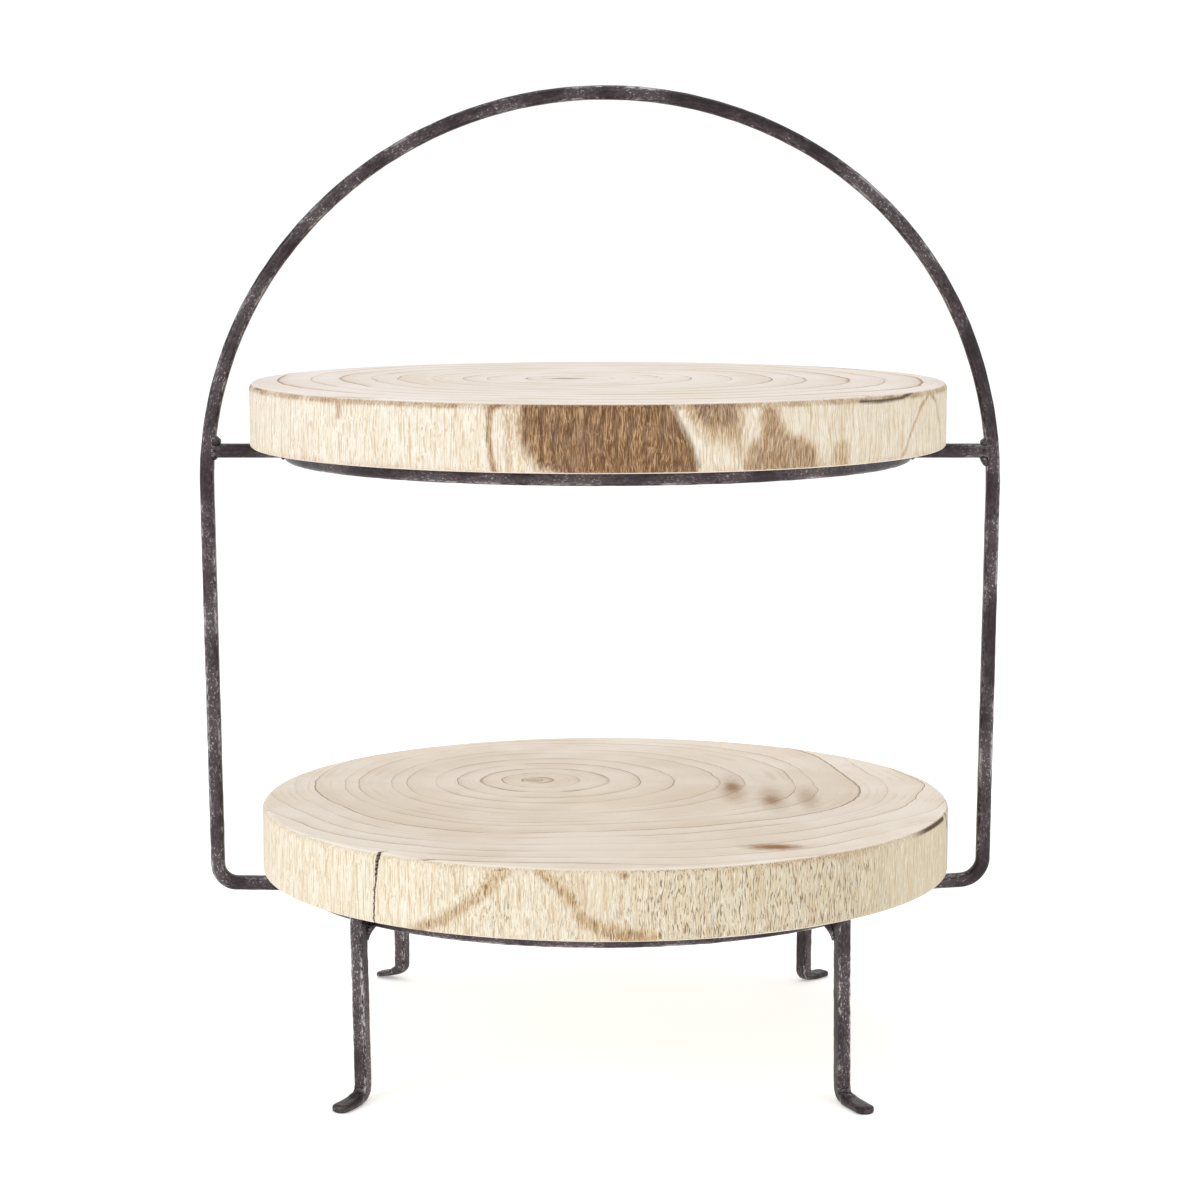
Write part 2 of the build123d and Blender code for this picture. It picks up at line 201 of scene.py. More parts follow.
def add_node(tree, kind, settings=None, **inputs):
    made = tree.nodes.new(kind)
    for key, value in (settings or {}).items():
        setattr(made, key, value)
    set_inputs(tree, made, **inputs)
    return made


def in_order(values):
    return {f"i{n}": value for n, value in enumerate(values)}


def maths(tree, operation, *values, clamp=False):
    settings = {"operation": operation, "use_clamp": clamp}
    return add_node(tree, "ShaderNodeMath", settings, **in_order(values)).outputs[0]


def vector_maths(tree, operation, *values):
    made = add_node(tree, "ShaderNodeVectorMath", {"operation": operation}, **in_order(values))
    return made.outputs["Value" if operation == "LENGTH" else "Vector"]


def plus(tree, one, other, clamp=False):
    return maths(tree, "ADD", one, other, clamp=clamp)


def minus(tree, one, other):
    return maths(tree, "SUBTRACT", one, other)


def times(tree, *values, clamp=False):
    product = values[0]
    for value in values[1:]:
        product = maths(tree, "MULTIPLY", product, value, clamp=clamp)
    return product


def between(tree, value, low, high, start=0.0, end=1.0):
    """Smooth step from start to end, as value goes from low to high."""
    made = add_node(tree, "ShaderNodeMapRange", {"interpolation_type": "SMOOTHSTEP"},
                    Value=value, From_Min=low, From_Max=high, To_Min=start, To_Max=end)
    return made.outputs[0]


def blend(tree, factor, under, over):
    made = add_node(tree, "ShaderNodeMix", {"data_type": "RGBA"}, i0=factor, i6=under, i7=over)
    return made.outputs[2]


def speckle(tree, place, scale, detail=2.0, rough=0.5):
    """Noise whose blotches are about 1/scale metres across."""
    made = add_node(tree, "ShaderNodeTexNoise", Vector=place, Scale=scale, Detail=detail, Roughness=rough)
    return made.outputs[0]


def stretched(tree, place, *factors, shift=(0, 0, 0)):
    """The place for a pattern that is drawn out along each axis whose factor is small."""
    return add_node(tree, "ShaderNodeMapping", Vector=place, Scale=factors, Location=shift).outputs[0]


def object_place(tree):
    return tree.nodes.new("ShaderNodeTexCoord").outputs["Object"]


def stored_on_mesh(tree, name, output="Fac"):
    return add_node(tree, "ShaderNodeAttribute", {"attribute_name": name}).outputs[output]


def bumped(tree, height, strength, depth):
    return add_node(tree, "ShaderNodeBump", Strength=strength, Distance=depth, Height=height).outputs[0]


def new_material(name):
    material = bpy.data.materials.new(name)
    material.use_nodes = True
    return material, material.node_tree, material.node_tree.nodes["Principled BSDF"]


def new_group(name, inputs, outputs):
    """A shader group with inputs of the named kinds and plain number outputs."""
    group = bpy.data.node_groups.new(name, "ShaderNodeTree")
    for label, kind in inputs.items():
        group.interface.new_socket(label, in_out="INPUT", socket_type=f"NodeSocket{kind}")
    for label in outputs:
        group.interface.new_socket(label, in_out="OUTPUT", socket_type="NodeSocketFloat")
    return group, group.nodes.new("NodeGroupInput").outputs


def colour(red, green, blue):
    """Linear colour from a paint chip's 0 to 255 values."""
    def linear(value):
        value /= 255
        return value / 12.92 if value <= 0.04045 else ((value + 0.055) / 1.055) ** 2.4
    return (linear(red), linear(green), linear(blue), 1.0)


def rubbed_group():
    """Where dark hammered iron is rubbed back to grey: along its corners, in streaks and specks."""
    group, given = new_group("rubbed_iron", {"Place": "Vector", "Half side": "Float", "Wear": "Float"},
                             ["Rubbed", "Mottle", "Height"])
    place = given["Place"]
    parts = add_node(group, "ShaderNodeSeparateXYZ", i0=place).outputs
    nearest = maths(group, "MINIMUM", *(maths(group, "ABSOLUTE", part) for part in parts[1:]))
    corner = between(group, maths(group, "DIVIDE", nearest, given["Half side"]), 0.45, 0.82)
    slow = speckle(group, stretched(group, place, 1, 2, 2), 38, 3)
    streaks = speckle(group, stretched(group, place, 0.38, 1, 1), 1000, 3, 0.65)
    specks = speckle(group, stretched(group, place, 0.6, 1, 1, shift=(3, 1, 2)), 1300, 4, 0.7)
    handled = plus(group, times(group, streaks, 0.6), times(group, slow, 0.6))
    corner_rub = times(group, corner, between(group, handled, 0.60, 0.76))
    face_rub = times(group, between(group, specks, 0.55, 0.68), between(group, slow, 0.40, 0.62), 0.9)
    rubbed = times(group, maths(group, "MAXIMUM", corner_rub, face_rub), given["Wear"], clamp=True)
    mottle = plus(group, times(group, slow, 0.6), times(group, streaks, 0.4))
    height = plus(group, times(group, specks, 0.7), times(group, streaks, 0.5))
    set_inputs(group, group.nodes.new("NodeGroupOutput"), Rubbed=rubbed, Mottle=mottle, Height=height)
    return group


rubbed_iron = rubbed_group()
iron_dark = colour(48, 39, 42)
iron_light = colour(84, 74, 77)
iron_bare = colour(190, 186, 187)


def iron_material(name, half_side, wear, place_from_bar=True, shift=0.0):
    """Waxed dark iron. Its marks run along the bar, or lie anyhow on a piece that isn't a bar."""
    material, tree, shader = new_material(name)
    place = stored_on_mesh(tree, "bar_place", "Vector") if place_from_bar else object_place(tree)
    if shift:
        place = stretched(tree, place, 1, 1, 1, shift=(shift, 0, 0))
    rub = add_node(tree, "ShaderNodeGroup", {"node_tree": rubbed_iron},
                   Place=place, Half_side=half_side, Wear=wear).outputs
    base = blend(tree, between(tree, rub["Mottle"], 0.38, 0.62), iron_dark, iron_light)
    base = blend(tree, rub["Rubbed"], base, iron_bare)
    rough = minus(tree, 0.52, times(tree, rub["Rubbed"], 0.12))
    normal = bumped(tree, rub["Height"], 0.45, 0.25 * mm)
    set_inputs(tree, shader, Base_Color=base, Roughness=rough, Normal=normal, Metallic=0.92,
               Coat_Weight=0.30, Coat_Roughness=0.28)
    return material


hoop_iron = iron_material("hoop_iron", hoop_side / 2, 0.9)
forge = bar_tree()


def add_piece(name, mesh):
    piece = bpy.data.objects.new(name, mesh)
    bpy.context.scene.collection.objects.link(piece)
    return piece


def make_plain(piece):
    """Gives a piece the plain mesh that its modifiers make, and takes them off."""
    bpy.context.view_layer.update()
    shaped = piece.evaluated_get(bpy.context.evaluated_depsgraph_get())
    finished = bpy.data.meshes.new_from_object(shaped)
    piece.modifiers.clear()
    piece.data = finished


def forged_bar(name, path, side, corner, material, seed, dent_depth=0.20 * mm):
    """A bar forged along a path of points."""
    line = bpy.data.meshes.new(name)
    line.from_pydata([tuple(point) for point in path], [(i, i + 1) for i in range(len(path) - 1)], [])
    piece = add_piece(name, line)
    modifier = piece.modifiers.new("forge", "NODES")
    modifier.node_group = forge
    values = {"Side": side, "Corner": corner, "Step": 0.9 * mm, "Dent depth": dent_depth,
              "Dent size": 6.5 * mm, "Seed": seed, "Iron": material}
    for item in forge.interface.items_tree:
        if item.in_out == "INPUT" and item.name in values:
            modifier[item.identifier] = values[item.name]
    make_plain(piece)
    return piece


def claim(piece, slot, *nodes):
    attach(piece, "root")
    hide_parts(*nodes)


right_side = rounded_path(
    [(root_gap / 2, 0, run_z), (run_bend_x, 0, run_z), (right_corner[0], 0, right_corner[1]),
     (spring_x, 0, spring_z)],
    [run_bend_radius, right_corner_radius],
)
arch = []
spot = Vector((spring_x, spring_z))
heading = Vector((sin(spring_lean), cos(spring_lean)))
for bend_radius, bend_angle in arch_bends:
    centre = spot + Vector((-heading.y, heading.x)) * bend_radius * mm
    arm = spot - centre
    for k in range(1, int(bend_angle) + 1):
        turn = Matrix.Rotation(radians(bend_angle * k / int(bend_angle)), 2)
        point = centre + turn @ arm
        arch.append(Vector((point.x, 0, point.y)))
    spot = point
    heading = turn @ heading
left_side = rounded_path(
    [tuple(arch[-1]), (left_corner[0], 0, left_corner[1]), (-run_bend_x, 0, run_z),
     (-root_gap / 2, 0, run_z)],
    [left_corner_radius, run_bend_radius],
)
hoop_path = right_side + arch[:-1] + left_side
hoop = forged_bar("hoop", hoop_path, hoop_side, hoop_corner, hoop_iron, 0.0)
claim(hoop, "forged_iron", "handle_hoop")


# ---- rings --------------------------------------------------------------------------------------
# Two bars rolled into rings, one under each board, with their seams at the back. They are the same
# hammered steel as the hoop.

ring_side = 6.4 * mm
ring_corner = 2.0 * mm
seam_angle = 90.0
ring_steps = 720
ring_iron = iron_material("ring_iron", ring_side / 2, 0.7, shift=5.0)


def corners_of(node):
    """The lowest and the highest corner of a node's box."""
    return [Vector(corner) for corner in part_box(node)]


def outward_at(angle):
    """Level direction at an angle in degrees from the stand's right-hand side."""
    return Vector((cos(radians(angle)), sin(radians(angle)), 0))


rings = {}
for tier, seed in (("upper", 2.0), ("lower", 4.0)):
    low, high = corners_of(f"{tier}_ring")
    middle = (low + high) / 2
    ring_radius = (high.x - low.x) / 2 - ring_side / 2
    gap = degrees(root_gap / ring_radius)
    turns = np.linspace(seam_angle + gap / 2, seam_angle + 360 - gap / 2, ring_steps)
    path = [middle + outward_at(turn) * ring_radius for turn in turns]
    ring = forged_bar(f"{tier}_ring_bar", path, ring_side, ring_corner, ring_iron, seed)
    claim(ring, "forged_iron", f"{tier}_ring")
    rings[tier] = (middle, ring_radius)


# ---- arms of the upper tier ---------------------------------------------------------------------
# Two short lengths of the same hammered bar tie the upper ring to the uprights. They are cut to
# length, dented less than the ring and welded at both ends.

arm_dent_depth = 0.12 * mm
for side, seed in (("left", 6.0), ("right", 7.0)):
    low, high = corners_of(f"upper_arm_{side}")
    arm_z = (low.z + high.z) / 2
    ends = sorted((low.x, high.x), key=abs)
    path = [Vector((x, 0, arm_z)) for x in np.linspace(ends[0], ends[1], 40)]
    arm = forged_bar(f"arm_{side}", path, ring_side, ring_corner, ring_iron, seed, arm_dent_depth)
    claim(arm, "forged_iron", f"upper_arm_{side}")


# ---- legs ---------------------------------------------------------------------------------------
# Four bars welded to the outside of the lower ring. Each is bent at the foot, and the end is
# hammered out into a thin, wide toe.

leg_side = 6.1 * mm
leg_corner = 2.1 * mm
leg_seat = 0.3 * mm
leg_dent_size = 5.0 * mm
leg_dent_depth = 0.24 * mm
section_points = 40
shank_steps, heel_steps, toe_steps = 70, 14, 34
heel_thins_from = 0.35          # share of the bend that keeps the bar's full thickness
heel_thinning = 0.26            # share of the thickness lost by the end of the bend
heel_spread = 0.06              # share of the width gained by then
toe_width = 8.6 * mm
flattening = 4.2 * mm           # length over which the heel's section becomes the toe's
tip_length = 3.4 * mm
tip_width, tip_thickness = 0.42, 0.5    # share of the toe's size left at its very end
leg_iron = iron_material("leg_iron", leg_side / 2, 1.3, shift=9.0)
leg_bends = {
    # place around the ring, lean, toe's direction, reach and thickness, heel's radius, droop
    "front_left": (224.4, 1.4, 245.0, 21.0, 3.2, 7.2, 0.0),
    "front_right": (315.7, 0.6, 293.0, 23.0, 3.2, 6.6, 0.0),
    "back_left": (133.0, 0.5, 148.0, 13.4, 2.8, 6.6, 12.0),
    "back_right": (45.6, -0.3, 48.0, 16.0, 3.0, 6.6, 0.0),
}


def bar_section(width, thickness, corner):
    """Points round a rounded rectangle, evenly spread by angle."""
    points = []
    for k in range(section_points):
        angle = 2 * pi * (k + 0.5) / section_points
        x, y = cos(angle), sin(angle)
        power = 2 + 2.2 * min(width, thickness) / (2 * corner)
        reach = (abs(x) ** power + abs(y) ** power) ** (-1 / power)
        points.append((x * reach * width / 2, y * reach * thickness / 2))
    return points


def face_outwards(mesh):
    shaped = bmesh.new()
    shaped.from_mesh(mesh)
    bmesh.ops.recalc_face_normals(shaped, faces=shaped.faces)
    shaped.to_mesh(mesh)
    shaped.free()
    mesh.shade_smooth()


up = Vector((0, 0, 1))
for leg_name, (angle, lean, toe_angle, reach, thickness, heel, droop) in leg_bends.items():
    lower_middle, lower_radius = rings["lower"]
    toe = outward_at(toe_angle)
    sideways = Vector((-toe.y, toe.x, 0))
    leg_radius = lower_radius + ring_side / 2 + leg_side / 2 + leg_seat
    axis_top = lower_middle + outward_at(angle) * leg_radius
    axis_top.z = corners_of(f"{leg_name}_leg")[1].z
    reach, thickness, heel = reach * mm, thickness * mm, heel * mm
    bend = radians(90 - droop)
    bend_x = heel - leg_side / 2
    past_bend = (reach - bend_x) / sin(bend) + heel / tan(bend)
    bend_z = heel * sin(bend) + past_bend * cos(bend)
    foot = Vector((axis_top.x + lean * mm, axis_top.y, 0))
    bend_centre = foot + toe * bend_x + up * bend_z

    # stations down the shank, round the heel and out to the tip: middle, inward way, width, thickness
    stations = []
    shank_end = bend_centre - toe * heel + toe * leg_side / 2
    for t in np.linspace(0, 1, shank_steps, endpoint=False):
        stations.append((axis_top.lerp(shank_end, t), toe, leg_side, leg_side))
    for t in np.linspace(0, 1, heel_steps, endpoint=False):
        inward = toe * cos(bend * t) + up * sin(bend * t)
        thinned = max(0.0, t - heel_thins_from) / (1 - heel_thins_from)
        thick = leg_side * (1 - heel_thinning * thinned)
        wide = leg_side * (1 + heel_spread * t)
        stations.append((bend_centre - inward * (heel - thick / 2), inward, wide, thick))
    inward = toe * cos(bend) + up * sin(bend)
    travel = toe * sin(bend) - up * cos(bend)
    heel_thick, heel_wide = leg_side * (1 - heel_thinning), leg_side * (1 + heel_spread)
    for t in np.linspace(0, 1, toe_steps):
        run = past_bend * t
        flat = min(1.0, run / flattening)
        flat = flat * flat * (3 - 2 * flat)
        thick = heel_thick + (thickness - heel_thick) * flat
        wide = heel_wide + (toe_width - heel_wide) * flat
        from_tip = past_bend - run
        if from_tip < tip_length:
            rounding = sqrt(max(0.0, 1 - (1 - from_tip / tip_length) ** 2))
            wide *= tip_width + (1 - tip_width) * rounding
            thick *= tip_thickness + (1 - tip_thickness) * min(1.0, (rounding + 0.15) ** 0.6)
        outer = bend_centre - inward * heel + travel * run
        stations.append((outer + inward * thick / 2, inward, wide, thick))

    # a dented section at each station
    vertices, places = [], []
    length = 0.0
    for i, (centre, inward, wide, thick) in enumerate(stations):
        if i:
            length += (centre - stations[i - 1][0]).length
        for x, y in bar_section(wide, thick, leg_corner):
            spot = centre + sideways * x + inward * y
            where = Vector((length + angle, x, y)) / leg_dent_size
            dent = 0.5 + 0.5 * noise.noise(where * 1.3) + 0.35 * noise.noise(where * 3.1)
            vertices.append(spot + (centre - spot).normalized() * dent * leg_dent_depth)
            places.append((length + angle * 0.01, x, y))
    faces = []
    last_row = len(stations) - 1
    for k in range(section_points):
        after = (k + 1) % section_points
        for first in range(0, last_row * section_points, section_points):
            faces.append((first + k, first + after, first + section_points + after,
                          first + section_points + k))
        foot_row = last_row * section_points
        faces.append((after, k, len(vertices)))
        faces.append((foot_row + k, foot_row + after, len(vertices) + 1))
    vertices += [stations[0][0], stations[-1][0]]
    places += [(0.01 * angle, 0, 0)] * 2
    for vertex in vertices:
        vertex.z = max(vertex.z, 0.0)
    mesh = bpy.data.meshes.new(f"{leg_name}_bar")
    mesh.from_pydata([tuple(vertex) for vertex in vertices], [], faces)
    stored = mesh.attributes.new("bar_place", "FLOAT_VECTOR", "POINT")
    stored.data.foreach_set("vector", np.ravel(places))
    mesh.materials.append(leg_iron)
    face_outwards(mesh)
    claim(add_piece(f"{leg_name}_bar", mesh), "forged_iron", f"{leg_name}_leg")


# ---- weld beads ---------------------------------------------------------------------------------
# Every joint of the frame is a small bead of weld metal, run by hand. It is left rippled, except
# where it is ground flush under a board, and waxed dark like the bars.

bead_size = 3.0 * mm
bead_grain = 0.38 * mm
weld_iron = iron_material("weld_iron", bead_size, 0.8, place_from_bar=False)


def weld_bead(name, node, blobs, ceiling=None):
    """A lumpy bead of overlapping blobs (place, radius), melted together and ground at the ceiling."""
    lump = bmesh.new()
    for place, radius in blobs:
        at = Matrix.Translation(place)
        bmesh.ops.create_icosphere(lump, subdivisions=2, radius=radius, matrix=at)
    mesh = bpy.data.meshes.new(name)
    lump.to_mesh(mesh)
    lump.free()
    piece = add_piece(name, mesh)
    melt = piece.modifiers.new("melt", "REMESH")
    melt.mode = "VOXEL"
    melt.voxel_size = bead_grain
    melt.use_smooth_shade = True
    soften = piece.modifiers.new("soften", "SMOOTH")
    soften.factor = 0.5
    soften.iterations = 3
    make_plain(piece)
    if ceiling is not None:
        for vertex in piece.data.vertices:
            vertex.co.z = min(vertex.co.z, ceiling)
    piece.data.materials.clear()
    piece.data.materials.append(weld_iron)
    claim(piece, "weld_bead", node)


# arms to uprights: the left bead sits mostly on top, the right one wraps the arm and runs down
upright_face = spring_x - hoop_side / 2
arm_bead_rows = {
    # height above the arm's middle, reach along the arm, blob radius
    "left": [(3.9, 1.2, 1.9), (5.2, 0.4, 1.5), (6.2, 0.0, 0.9), (-3.2, 0.4, 1.0), (0.0, 0.6, 1.0)],
    "right": [(3.6, 1.0, 1.5), (4.6, 0.2, 1.2), (-3.4, 1.0, 1.6), (-4.6, 0.5, 1.5), (-5.8, 0.1, 1.1),
              (0.0, 0.9, 1.2)],
}
for side, sign in (("left", -1), ("right", 1)):
    low, high = corners_of(f"upper_arm_{side}")
    arm_z = (low.z + high.z) / 2
    blobs = []
    for rise, along, radius in arm_bead_rows[side]:
        beside = rise == 0.0
        for y in (-3.3, 3.3) if beside else (-1.9, 0.0, 1.9):
            place = Vector((sign * (upright_face - along * mm), y * mm, arm_z + rise * mm))
            blobs.append((place, radius * (0.8 if beside else 1.0) * mm))
    weld_bead(f"arm_bead_{side}", f"arm_to_hoop_weld_{side}", blobs)

    # arm to ring: a row below the arm and one up each side, ground flush on top
    ring_middle, ring_radius = rings["upper"]
    bead_x = ring_middle.x + sign * (ring_radius + ring_side / 2) + sign * 0.5 * mm
    blobs = [(Vector((bead_x, y * mm, arm_z - 2.7 * mm)), 1.1 * mm) for y in np.linspace(-4.2, 4.2, 9)]
    for z in np.linspace(-1.9, 2.2, 5):
        for y in (-4.0, 4.0):
            blobs.append((Vector((bead_x, y * mm, arm_z + z * mm)), 1.4 * mm))
    weld_bead(f"ring_bead_{side}", f"arm_to_ring_weld_{side}", blobs, ceiling=high.z)

    # the run to both sides of the lower ring
    for place in ("outer", "inner"):
        low, high = corners_of(f"run_weld_{side}_{place}")
        row = [Vector((0, y * mm, -0.3 * mm)) for y in np.linspace(-2.0, 2.0, 6)]
        blobs = [((low + high) / 2 + step, 1.6 * mm) for step in row]
        weld_bead(f"run_bead_{side}_{place}", f"run_weld_{side}_{place}", blobs)

# legs to the lower ring: a flare in the corner, wide at the ring and running out down the leg
ring_middle, ring_radius = rings["lower"]
for leg_name, (angle, *_) in leg_bends.items():
    out = outward_at(angle)
    across = Vector((-out.y, out.x, 0))
    blobs = []
    for t in np.linspace(0, 1, 7):
        reach = ring_radius + (3.0 - 3.9 * (1 - t) ** 2.0) * mm
        drop = -ring_side / 2 + (1.0 - 6.4 * t) * mm
        for y in (-1.5, 0.0, 1.5):
            place = ring_middle + out * reach + across * y * mm + up * drop
            blobs.append((place, (2.0 - 1.1 * t) * mm))
    weld_bead(f"{leg_name}_bead", f"{leg_name}_leg_weld", blobs)

# seams where each bar's ends meet: a band of bead all round the bar
seams = [("hoop_seam_weld", Vector((0, 0, run_z)), hoop_side, None)]
for tier, (ring_middle, ring_radius) in rings.items():
    seams.append((f"{tier}_ring_seam_weld", ring_middle + Vector((0, ring_radius, 0)), ring_side,
                  ring_middle.z + ring_side / 2))
for node, centre, side, ceiling in seams:
    blobs = []
    for row, radius in ((-1.3, 0.64), (0.0, 0.8), (1.3, 0.64)):
        for y, z in bar_section(side, side, hoop_corner)[::2]:
            blobs.append((centre + Vector((row * mm, y, z)), radius * mm))
    weld_bead(node.replace("weld", "bead"), node, blobs, ceiling)

# a bead under each fixing tab
for tier, (ring_middle, ring_radius) in rings.items():
    high = corners_of(f"{tier}_tab_welds")[1]
    blobs = []
    for corner in (45, 135, 225, 315):
        out = outward_at(corner)
        across = Vector((-out.y, out.x, 0))
        for y in np.linspace(-4.6, 4.6, 9):
            place = ring_middle + out * (ring_radius - ring_side / 2 - 0.6 * mm) + across * y * mm
            place.z = high.z - 0.5 * mm
            blobs.append((place, 1.35 * mm))
    weld_bead(f"{tier}_tab_beads", f"{tier}_tab_welds", blobs, ceiling=high.z)


# ---- fixing tabs and screws ---------------------------------------------------------------------
# Small steel plates welded inside each ring, waxed dark like the bars, and the zinc-plated wood
# screws that go up through them into the boards. Both keep their own shape and only get a finish.

plate_spread = 50 * mm
tab_iron = iron_material("tab_iron", plate_spread, 0.5, place_from_bar=False)
screw_zinc, tree, shader = new_material("screw_zinc")
grain = speckle(tree, object_place(tree), 700, 4)
zinc = blend(tree, between(tree, grain, 0.35, 0.65), colour(150, 150, 148), colour(196, 196, 194))
set_inputs(tree, shader, Base_Color=zinc, Roughness=between(tree, grain, 0.3, 0.7, 0.32, 0.48),
           Metallic=1.0, Normal=bumped(tree, grain, 0.2, 0.1 * mm))
for node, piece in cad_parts.items():
    finish = screw_zinc if "screws" in node else tab_iron
    if "screws" in node or ("_tab_" in node and "welds" not in node):
        piece.data.materials.clear()
        piece.data.materials.append(finish)


# ---- wooden boards ------------------------------------------------------------------------------
# Two thick slices sawn across a pale, light trunk. The sawn faces are sanded and show the growth
# rings; the rim is the peeled outside of the trunk, with fibres, stains and a drying crack.

column_gap = 0.85 * mm
row_gap = 0.75 * mm
top_round = 2.2 * mm
bottom_round = 1.4 * mm
face_insets = [2.8, 3.6, 4.6, 6.0, 8.0, 11.0, 16.0, 25.0, 40.0, 60.0, 90.0, 120.0]   # mm from the rim


def smooth(value, low, high):
    t = np.clip((value - low) / (high - low), 0, 1)
    return t * t * (3 - 2 * t)


def from_line(u, z, points):
    """Distance in mm of each (u, z) from a line of points on the unrolled rim."""
    nearest = np.full(u.shape, 1e9)
    for (u0, z0), (u1, z1) in zip(points, points[1:]):
        du, dz = u1 - u0, z1 - z0
        t = np.clip(((u - u0) * du + (z - z0) * dz) / (du * du + dz * dz), 0, 1)
        nearest = np.minimum(nearest, np.hypot(u - u0 - t * du, z - z0 - t * dz))
    return nearest


def in_patch(u, z, outline):
    """Depth in mm inside an outline on the unrolled rim, negative outside it."""
    closed = outline + outline[:1]
    inside = np.zeros(u.shape, bool)
    for (u0, z0), (u1, z1) in zip(closed, closed[1:]):
        if z0 != z1:
            inside ^= ((z0 > z) != (z1 > z)) & (u < (u1 - u0) * (z - z0) / (z1 - z0) + u0)
    depth = from_line(u, z, closed)
    return np.where(inside, depth, -depth)


def ripple(u, z, size_u, size_z, seed):
    """Smooth noise from -1 to 1 over the unrolled rim."""
    return np.array([noise.noise(Vector((a / size_u, b / size_z, seed))) for a, b in zip(u, z)])


def strongest(*marks):
    """Marks that lie over each other don't add up: the strongest one shows."""
    return np.maximum.reduce(marks)


def stroke(u, z, strength, fades_at, full_at, *lines):
    """A mark brushed along lines, full up to one distance in mm and gone at the other."""
    return strongest(*(strength * smooth(from_line(u, z, line), fades_at, full_at) for line in lines))


def oval(u, z, strength, centre, half_size, fades_at, full_at):
    """An oval mark. Its fading is measured in half sizes from the centre."""
    reach = np.hypot((u - centre[0]) / half_size[0], (z - centre[1]) / half_size[1])
    return strength * smooth(reach, fades_at, full_at)


def rings_group():
    """Growth rings round an off-centre pith: dark late-wood lines, soft shading and fine rings."""
    group, given = new_group("growth_rings", {"Place": "Vector", "Pith": "Vector", "Lopsided": "Float",
                                              "Spacing": "Float", "Seed": "Float"}, ["Line", "Shade", "Fine"])
    flat = vector_maths(group, "MULTIPLY", vector_maths(group, "SUBTRACT", given["Place"], given["Pith"]),
                        (1, 1, 0))
    radius = vector_maths(group, "LENGTH", flat)
    way = vector_maths(group, "NORMALIZE", flat)
    way_x = add_node(group, "ShaderNodeSeparateXYZ", i0=way).outputs[0]
    grown = times(group, radius, minus(group, 1.0, times(group, way_x, given["Lopsided"])))
    seeded = vector_maths(group, "ADD", flat, given["Seed"])
    slow = speckle(group, seeded, 9, 1)
    wavy = speckle(group, seeded, 75, 3)
    grown = plus(group, grown, times(group, minus(group, slow, 0.5), times(group, radius, 0.20)))
    grown = plus(group, grown, times(group, minus(group, wavy, 0.5), 2.8 * mm))
    year = maths(group, "DIVIDE", grown, given["Spacing"])
    uneven = add_node(group, "ShaderNodeTexNoise", {"noise_dimensions": "1D"}, Scale=1.0, Detail=1.0,
                      W=plus(group, times(group, year, 0.9), given["Seed"]))
    year = plus(group, year, times(group, uneven.outputs[0], 1.1))
    in_year = maths(group, "FRACT", year)
    edge = times(group, between(group, in_year, 0.90, 0.975), between(group, in_year, 1.0, 0.982))
    patch_place = add_node(group, "ShaderNodeCombineXYZ", i0=times(group, way_x, 1.3),
                           i1=maths(group, "FLOOR", year), i2=times(group, slow, 3.0)).outputs[0]
    patches = between(group, speckle(group, patch_place, 1.4, 1), 0.36, 0.62)
    patchy = plus(group, 0.25, times(group, patches, 0.75))
    fine_year = maths(group, "FRACT", times(group, year, 5.3))
    fine = times(group, between(group, fine_year, 0.55, 0.95), between(group, fine_year, 1.0, 0.96),
                 between(group, speckle(group, seeded, 45), 0.42, 0.66))
    set_inputs(group, group.nodes.new("NodeGroupOutput"), Line=times(group, edge, patchy),
               Shade=times(group, maths(group, "POWER", in_year, 2.5), patchy), Fine=fine)
    return group


def spot_group():
    """A soft brown stain: an oval with a ragged edge."""
    group, given = new_group("brown_spot", {"Place": "Vector", "Centre": "Vector", "Half size": "Vector",
                                            "Ragged": "Float"}, ["Stain"])
    away = vector_maths(group, "SUBTRACT", given["Place"], given["Centre"])
    reach = vector_maths(group, "LENGTH", vector_maths(group, "DIVIDE", away, given["Half size"]))
    rag = times(group, minus(group, speckle(group, given["Place"], 260, 4, 0.6), 0.5), given["Ragged"])
    stain = between(group, plus(group, reach, rag), 1.15, 0.15)
    set_inputs(group, group.nodes.new("NodeGroupOutput"), Stain=stain)
    return group


growth_rings = rings_group()
brown_spot = spot_group()


